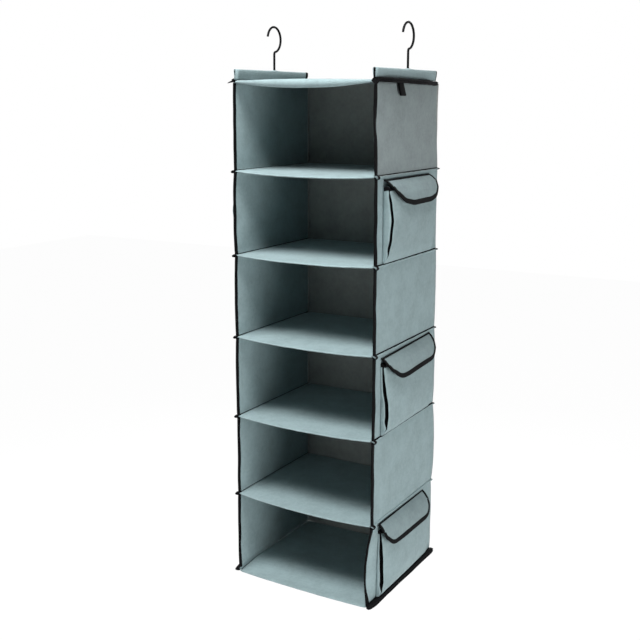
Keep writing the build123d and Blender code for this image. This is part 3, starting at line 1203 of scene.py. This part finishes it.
# flaps: a rounded sheet that drops over each pocket's mouth
flap = {
    "ends": {"upper": (-105.5, 92.0), "middle": (-107.0, 110.0), "lower": (-111.5, 94.0)},
    # the hinge's height below the shelf, in front and behind
    "hinge": {"upper": (7.6, 7.6), "middle": (13.4, 5.6), "lower": (13.4, 13.0)},
    "length": {"upper": (58.5, 58.5), "middle": (53.5, 53.5), "lower": (52.0, 57.0)},
    # the rounded lower corners: how far along, how far up, how square
    "frontCorner": {"upper": (80.0, 44.0, 1.7), "middle": (60.0, 40.0, 1.7), "lower": (42.0, 35.0, 1.9)},
    "backCorner": {"upper": (50.0, 27.0, 2.0), "middle": (34.0, 22.0, 2.0), "lower": (32.0, 28.0, 2.0)},
    "lean": {"upper": 0.0, "middle": 0.24, "lower": 0.0},
    # the edging, and how much of its width shows in front, below, behind and at the hinge
    "tape": {"width": 5.8, "thick": 2.4, "proud": 1.3},
    "frontEdging": 1.0,
    "lowEdging": 1.4,
    "backEdging": {"upper": 0.9, "middle": 1.05, "lower": 1.05},
    "hingeEdging": {"upper": 0.8, "middle": 0.5, "lower": 0.34},
    # at these lengths along the cloth, how far it is out from the wall and down from the hinge
    "along": (0, 10, 21, 36, 54, 66),
    "out": {
        "upper": (1.7, 10.2, 18.8, 23.4, 26.0, 27.2),
        "middle": (1.7, 9.4, 16.6, 21.6, 24.4, 25.6),
        "lower": (1.7, 8.6, 15.0, 19.6, 22.2, 23.3),
    },
    "down": {
        "upper": (0.0, 4.6, 11.5, 25.0, 43.5, 55.4),
        "middle": (0.0, 5.2, 13.4, 27.4, 45.2, 57.1),
        "lower": (0.0, 5.8, 14.6, 28.6, 46.2, 58.1),
    },
    "crown": 2.6,
    # where the cloth starts to turn and where it turns fully: out from the wall, down from the shelf
    "turn": ((1.7, 6.5), (9.5, 17.0)),
    "cloth": 0.9,
    "rows": 22,
    "columns": 42,
}


def makeFlap(side, place):
    number = 2 * places.index(place) + 1
    level = body["shelves"][number - 1]
    front, back = flap["ends"][place]
    seed = 17.0 * places.index(place) + (30.0 if side == "left" else 0.0)
    bodyName = f"{side}_{place}_flap"
    longest = max(flap["length"][place])
    outs = list(zip(flap["along"], flap["out"][place]))
    drops = list(zip(flap["along"], flap["down"][place]))

    def hinged(piece, node):
        # the sewn line stays put and the rest of the flap turns
        start, end = (
            Vector((sides[side] * (body["half"] + out), 0, level - down)) * mm for out, down in flap["turn"]
        )
        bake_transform(piece, f"shelf_{number}", bodyName, start=start, end=end)
        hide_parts(node)

    def cornerCut(corner, along):
        reach, up, square = flap[corner][place]
        gone = 1 - min(along / reach, 1.0)
        return up * (1 - (1 - gone**square) ** (1 / square))

    def onFlap(share, fall):
        # share runs along the hinge, fall from the hinge to the lower edge, both from 0 to 1
        along = 0.5 - 0.5 * math.cos(math.pi * min(max(share, 0.0), 1.0))
        depth = between(front, back, along)
        across = (depth - front) / (back - front)
        full = between(*flap["length"][place], across)
        full -= cornerCut("frontCorner", depth - front) + cornerCut("backCorner", back - depth)
        down = full * fall
        out, drop = follow(outs, down), follow(drops, down)
        out += flap["crown"] * (hump(across) - 0.25) * hump(0.15 + 0.6 * down / longest) * ramp(down, 0, 16)
        out += 0.7 * uneven(depth / 48, down / 30, seed) * ramp(down, 2, 20)
        drop += 0.8 * uneven(depth / 60, seed, 2.0) * ramp(down, 5, 30)
        moved = depth - flap["lean"][place] * down * across**3
        height = level - between(*flap["hinge"][place], across) - drop
        return Vector((sides[side] * (body["half"] + out), moved, height))

    rows = [(fall, 0.0) for fall in spread(0, 1, flap["rows"])]
    shape = drawn(rows, spread(0, 1, flap["columns"]))
    laidFlat(shape)
    flat = shape.loops.layers.uv["flat"]
    for face in shape.faces:
        for corner in face.loops:
            corner[flat].uv = (corner.vert.co.x * longest * mm, corner.vert.co.z * 0.2)
    bent(shape, lambda fall, _, share: onFlap(share, fall))
    cloth = BVHTree.FromBMesh(shape)
    name = f"{side}{place.capitalize()}Flap"
    # the flaps take the darker copy of the cloth, painted shade
    made = finished(name, shape, ["flap"], flap["cloth"], sharp=70)
    hinged(made, f"{side}_{place}_flap")

    # once round the flap: down in front, along the lower edge, up behind, back along the hinge
    inFront, below = flap["frontEdging"], flap["lowEdging"]
    behind, atHinge = flap["backEdging"][place], flap["hingeEdging"][place]
    rim = [(0.0, fall, inFront) for fall in spread(0, 0.94, 9)]
    rim += [(share, 1.0, between(inFront, below, ramp(share, 0, 0.5))) for share in spread(0.0, 0.5, 24)]
    rim += [(share, 1.0, between(below, behind, ramp(share, 0.62, 1))) for share in spread(0.52, 1.0, 24)]
    rim += [(1.0, fall, between(0.9, behind, ramp(fall, 0.05, 0.4))) for fall in spread(0.93, 0, 14)]
    rim += [(share, 0.0, atHinge) for share in spread(0.985, 0.0, 40)]
    steps = []
    points = [onFlap(share, fall) for share, fall, _ in rim]
    for index, (share, fall, width) in enumerate(rim):
        before = points[index - 1] if index else points[-2]
        after = points[index + 1] if index < len(rim) - 1 else points[1]
        direction = (after - before).normalized()
        towards = onFlap(between(share, 0.5, 0.06), between(fall, 0.5, 0.06)) - points[index]
        off = direction.cross(towards).normalized()
        if off.x * sides[side] < 0:
            off = -off
        inward = off.cross(direction).normalized()
        if inward.dot(towards) < 0:
            inward = -inward
        steps.append((points[index], inward * width, off))
    edging = boundEdge(f"{name}Tape", steps, flap["tape"], loop=True, cloth=cloth)
    hinged(edging, f"{side}_{place}_flap_binding")
    return made, edging


flaps = {(side, place): makeFlap(side, place) for side in sides for place in places}
print("flaps sewn")


# a folded loop of tape below the right top seam
ribbon = {
    "middle": middleOf("ribbon_loop", 1),
    "out": lowest("ribbon_loop", 0),
    "top": body["seam"] - 1.0,
    "length": 25.0,
    "width": 17.0,
    "layers": 2.6,
    # how it widens, swings back and curls towards its fold
    "flare": 0.36,
    "sway": (-3.4, 11.0),
    "curl": 0.9,
    "cloth": 0.9,
}


def makeRibbon():
    long = ribbon["length"]
    gap = ribbon["layers"]
    outline = [(0.3, height) for height in spread(0, -long + 2.4, 9)]
    outline += [(0.2, -long + 0.7), (gap / 2, -long), (gap - 0.2, -long + 0.7)]
    outline += [(gap, height) for height in spread(-long + 2.4, 0, 9)]
    half = ribbon["width"] / 2
    shape = drawn(outline, spread(-half, half, 9))
    laidFlat(shape)

    def place(out, height, across):
        down = -height / long
        start, swing = ribbon["sway"]
        flare = 1 + ribbon["flare"] * down
        sway = start + swing * down
        curl = ribbon["curl"] * (across / half) ** 2 * (0.3 + 0.7 * down)
        outward = ribbon["out"] + out - curl + 0.9 * down
        return Vector((outward, ribbon["middle"] + across * flare + sway, ribbon["top"] + height))

    bent(shape, place)
    made = finished("ribbonLoop", shape, ["tape"], ribbon["cloth"], sharp=75)
    withBody(made, "body", "black_tape", "ribbon_loop")


makeRibbon()
print("ribbon loop folded")


# finishes for the parts that keep their own shape
keptFinish = {"_bar": "batten", "_hook": "wire", "_stop": "stop"}
for node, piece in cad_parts.items():
    for ending, skin in keptFinish.items():
        if node.endswith(ending):
            piece.data.materials.clear()
            piece.data.materials.append(finishes[skin])
print("frame parts finished")


# each pocket and flap, gone through in turn
for side in sides:
    for place in places:
        made, edging = pockets[side, place]
        made, edging = flaps[side, place]


# floor, lamps and camera
stage = {"floor": -1.62, "size": 14.0, "white": 0.86, "glow": 1.04, "glowShare": 0.94, "ambient": 0.02}


def directLight(start):
    # rays that come straight from the camera, or by way of a shiny or clear surface
    rays = ("Is Camera Ray", "Is Glossy Ray", "Is Transmission Ray")
    seen, mirrored, through = (start.node("ShaderNodeLightPath", output=ray) for ray in rays)
    return seen + mirrored + through


def makeFloor():
    shape = bmesh.new()
    bmesh.ops.create_grid(shape, x_segments=8, y_segments=8, size=stage["size"] / 2)
    bmesh.ops.translate(shape, verts=shape.verts, vec=(0, 0, stage["floor"]))
    mesh = bpy.data.meshes.new("floor")
    shape.to_mesh(mesh)
    shape.free()
    floor = bpy.data.objects.new("floor", mesh)
    bpy.context.scene.collection.objects.link(floor)

    material = bpy.data.materials.new("pale floor")
    material.use_nodes = True
    tree = material.node_tree
    shader = tree.nodes["Principled BSDF"]
    shader.inputs["Roughness"].default_value = 0.9
    shader.inputs["Specular IOR Level"].default_value = 0.1
    start = Wire(tree)
    clouds = objectPlace(start).speckle(1.5, 3.0, 0.5)
    white = (stage["white"],) * 3
    plug(clouds.mixed(colour(*white), shaded(white, 1.03)), shader, "Base Color")
    glow = start.node("ShaderNodeEmission", None, {"Color": (1, 1, 1, 1), "Strength": stage["glow"]})
    direct = directLight(start) * stage["glowShare"]
    mixer = start.node("ShaderNodeMixShader", None, {0: direct, 1: Wire(tree, shader.outputs[0]), 2: glow})
    tree.links.new(mixer.socket, tree.nodes["Material Output"].inputs["Surface"])
    mesh.materials.append(material)


def makeWorld():
    world = bpy.data.worlds.new("studio")
    bpy.context.scene.world = world
    world.use_nodes = True
    tree = world.node_tree
    start = Wire(tree)
    direct = directLight(start).step(0.0, 1.0)
    dim = tree.nodes["Background"]
    dim.inputs["Color"].default_value = (1, 1, 1, 1)
    dim.inputs["Strength"].default_value = stage["ambient"]
    bright = start.node("ShaderNodeBackground", None, {"Color": (1, 1, 1, 1), "Strength": 1.0})
    mixer = start.node("ShaderNodeMixShader", None, {0: direct, 1: Wire(tree, dim.outputs[0]), 2: bright})
    tree.links.new(mixer.socket, tree.nodes["World Output"].inputs["Surface"])


lamps = {
    "above": {"at": (0.15, -0.80, 1.05), "aim": (0, 0, -0.45), "size": 0.7, "power": 24.0},
    "aboveLeft": {"at": (-0.7, -1.0, 1.1), "aim": (0, 0, -0.45), "size": 0.8, "power": 20.0},
    "aboveRight": {"at": (0.75, -0.95, 1.05), "aim": (0, 0, -0.45), "size": 0.8, "power": 6.0},
    "right": {"at": (1.85, -0.6, -0.95), "aim": (0, 0, -0.65), "size": 1.1, "power": 21.0},
    "frontLow": {"at": (-0.4, -2.2, -0.9), "aim": (0, 0, -0.7), "size": 1.2, "power": 5.0},
    "behind": {"at": (-0.9, 2.2, 0.3), "aim": (0, 0, -0.5), "size": 1.6, "power": 34.0},
    "left": {"at": (-2.2, 0.5, 0.2), "aim": (0, 0, -0.5), "size": 1.4, "power": 18.0},
}


def pointing(at, aim):
    turn = (Vector(aim) - Vector(at)).to_track_quat("-Z", "Y")
    return Matrix.Translation(at) @ turn.to_matrix().to_4x4()


for name, settings in lamps.items():
    lamp = bpy.data.lights.new(name, "AREA")
    lamp.shape = "DISK"
    lamp.size = settings["size"]
    lamp.energy = settings["power"]
    holder = bpy.data.objects.new(name, lamp)
    bpy.context.scene.collection.objects.link(holder)
    holder.matrix_world = pointing(settings["at"], settings["aim"])

makeFloor()
makeWorld()
bpy.context.scene.view_settings.view_transform = "Standard"

eye = {
    "at": (0.9594, -1.7674, -0.1184),
    "yaw": 29.49,
    "pitch": 10.456,
    "roll": 0.13,
    "focal": 57.69,
    "sensor": 36,
    "rise": -0.0469,
}
lens = bpy.data.cameras.new("camera")
lens.lens = eye["focal"]
lens.sensor_width = eye["sensor"]
lens.shift_y = eye["rise"]
camera = bpy.data.objects.new("camera", lens)
bpy.context.scene.collection.objects.link(camera)
camera.matrix_world = (
    Matrix.Translation(eye["at"])
    @ Matrix.Rotation(math.radians(eye["yaw"]), 4, "Z")
    @ Matrix.Rotation(math.radians(90 - eye["pitch"]), 4, "X")
    @ Matrix.Rotation(math.radians(eye["roll"]), 4, "Z")
)
bpy.context.scene.camera = camera
print("stage set")
